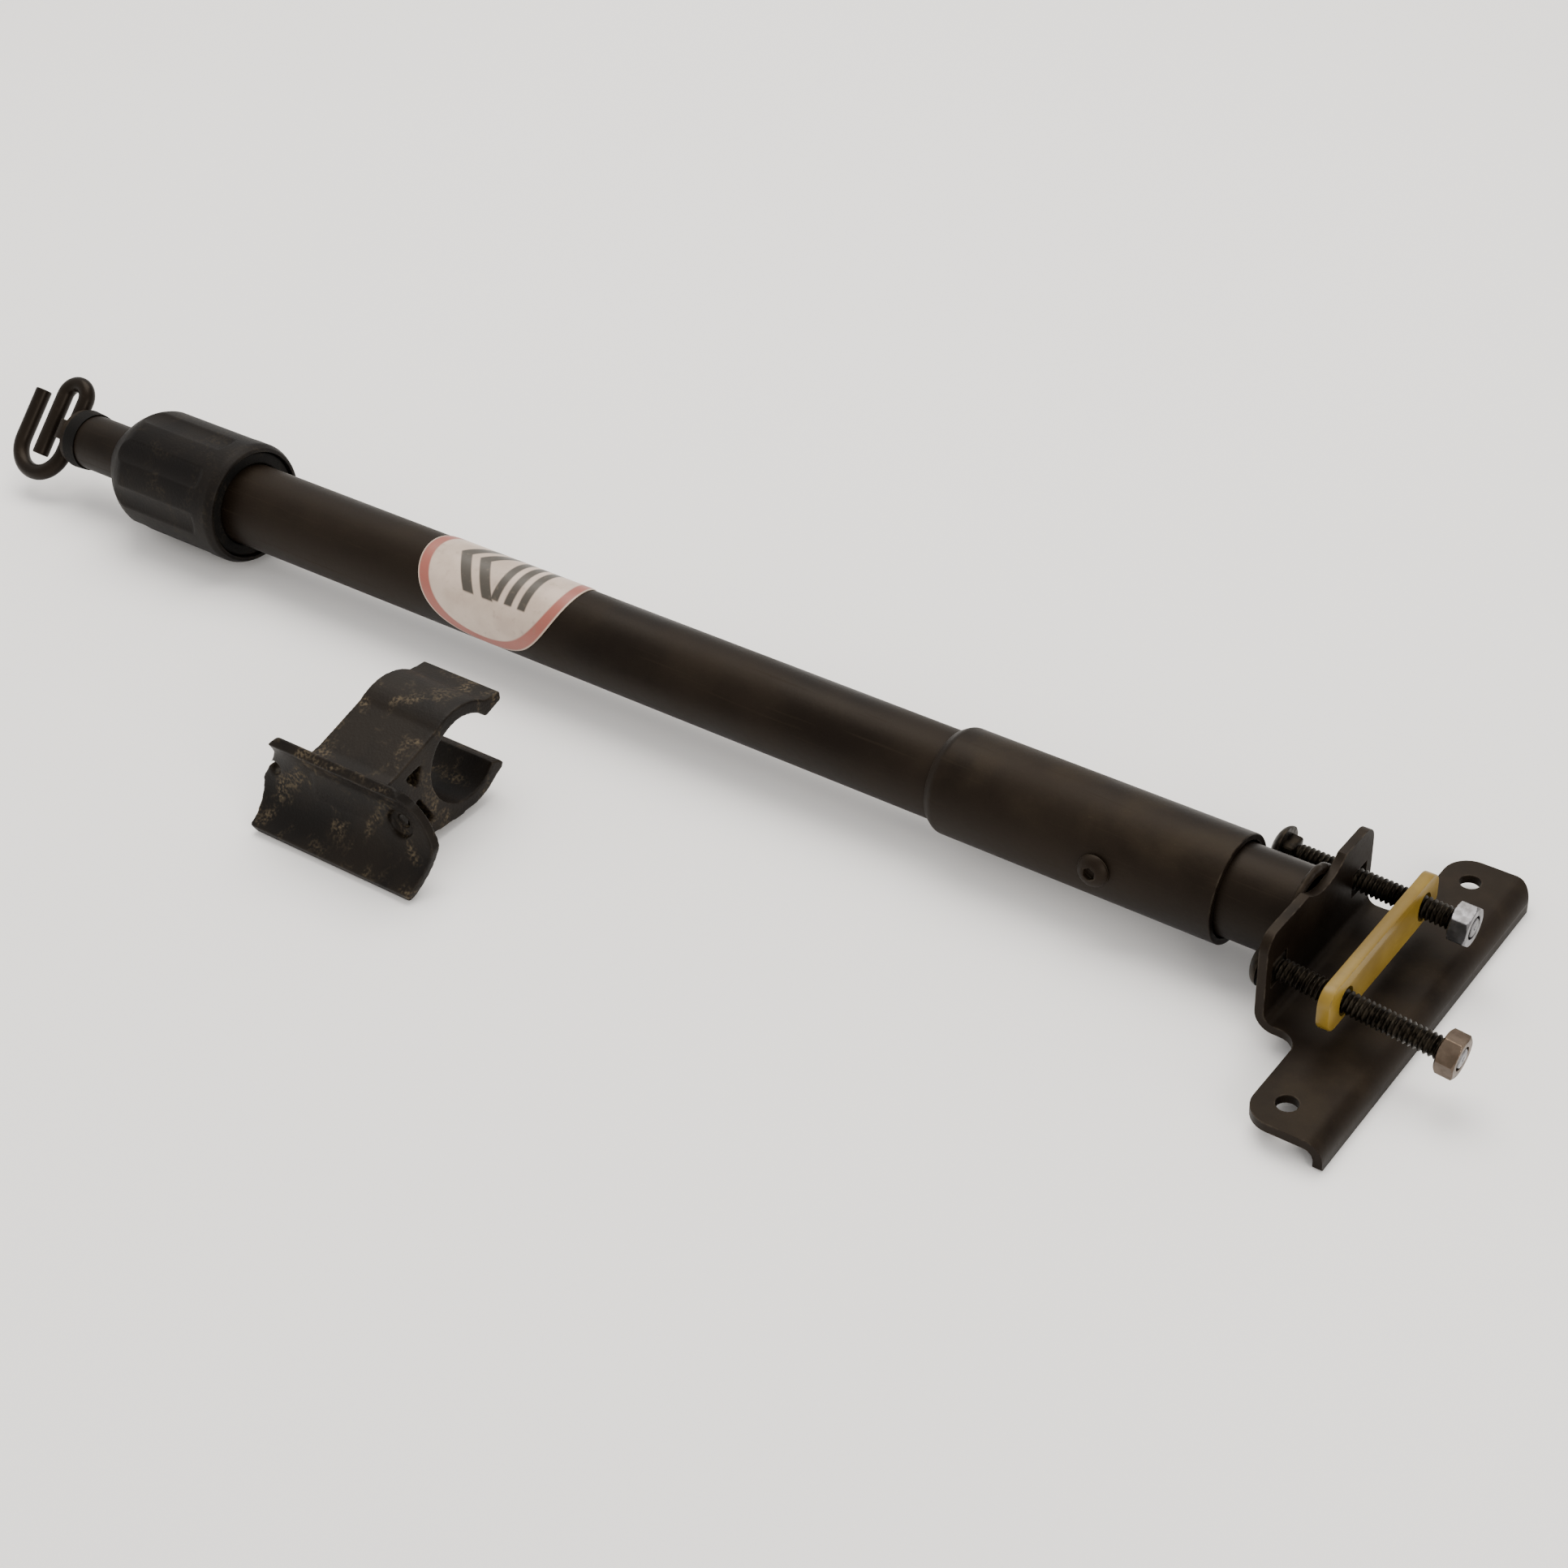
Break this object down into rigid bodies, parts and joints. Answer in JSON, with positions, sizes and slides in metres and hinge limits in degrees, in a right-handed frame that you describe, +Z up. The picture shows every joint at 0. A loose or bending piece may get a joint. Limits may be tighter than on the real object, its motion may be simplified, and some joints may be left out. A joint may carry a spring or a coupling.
{
  "type": "telescoping cargo bar",
  "caption": "Telescoping twist-lock cargo bar with a bolted clamp bracket at one end, a bent wire hook at the other, and a loose snap clip on a screw-on saddle.",
  "frame": {"origin": "underside of the bracket's base plate, midway between its two screw holes", "axes": "+X along the bar from the hook towards the bracket's turned-down lip, +Y across the bracket away from the loose clip, +Z up through the base plate"},
  "size_m": [0.6589, 0.2047, 0.0495],
  "materials": {
    "black_paint": "satin black paint with fine wear",
    "black_nylon": "moulded black nylon, slightly dusty",
    "black_rubber": "matt rubber",
    "yellow_paint": "yellow paint, satin",
    "zinc_plate": "zinc plate",
    "dark_steel": "oiled dark steel",
    "label_film": "printed label film with a red ring",
    "plain_steel": "bare steel"
  },
  "bodies": {
    "bar": {"bracket": "black_paint", "weld_bead": "black_paint", "stub_tube": "black_paint", "sleeve": "black_paint", "sleeve_screw": "black_paint", "weld_nut": "plain_steel", "main_tube": "black_paint", "tube_label": "label_film", "threaded_collar": "black_nylon", "collar_pin": "plain_steel", "collet": "black_nylon"},
    "knob": {"knob": "black_nylon", "knob_ring": "black_rubber"},
    "rod_guide": {"rod_guide": "black_nylon"},
    "rod": {"inner_rod": "black_paint", "guide_pin": "plain_steel", "hook_eye": "black_paint", "eye_pin": "plain_steel", "end_ring": "black_rubber"},
    "hook": {"hook_wire": "black_paint"},
    "clamp_bar": {"clamp_bar": "yellow_paint"},
    "bolt_near": {"bolt_near": "dark_steel"},
    "bolt_far": {"bolt_far": "dark_steel"},
    "nut_near": {"nut_near": "zinc_plate"},
    "nut_far": {"nut_far": "zinc_plate"},
    "clip": {"saddle_clip": "black_nylon"}
  },
  "joints": [
    {"name": "knob_twist", "type": "hinge", "parent": "bar", "child": "knob", "pos_m": [-0.52, 0, 0.0192], "axis": [1, 0, 0], "range_deg": [0, 180]},
    {"name": "rod_extend", "type": "slide", "parent": "bar", "child": "rod_guide", "axis": [-1, 0, 0], "range_m": [0, 0.22]},
    {"name": "rod_turn", "type": "hinge", "parent": "rod_guide", "child": "rod", "pos_m": [-0.42, 0, 0.0192], "axis": [1, 0, 0], "continuous": true},
    {"name": "hook_swing", "type": "hinge", "parent": "rod", "child": "hook", "pos_m": [-0.5923, 0, 0.0192], "axis": [0, 0.6947, 0.7193], "range_deg": [-35, 35]},
    {"name": "clamp_bar_slide", "type": "slide", "parent": "bar", "child": "clamp_bar", "axis": [0.9973, 0, -0.0732], "range_m": [-0.018, 0.006]},
    {"name": "bolt_near_slide", "type": "slide", "parent": "bar", "child": "bolt_near", "axis": [0.9947, 0, -0.1028], "range_m": [-0.022, 0]},
    {"name": "bolt_far_slide", "type": "slide", "parent": "bar", "child": "bolt_far", "axis": [0.999, 0, -0.0436], "range_m": [0, 0.0222]},
    {"name": "nut_near_spin", "type": "hinge", "parent": "bolt_near", "child": "nut_near", "pos_m": [0.03558, -0.027, 0.01292], "axis": [0.9947, 0, -0.1028], "continuous": true},
    {"name": "nut_far_spin", "type": "hinge", "parent": "bolt_far", "child": "nut_far", "pos_m": [0.01366, 0.027, 0.0164], "axis": [0.999, 0, -0.0436], "continuous": true},
    {"name": "clip_lift", "type": "slide", "parent": "bar", "child": "clip", "axis": [0, 0, 1], "range_m": [0, 0.06]}
  ]
}
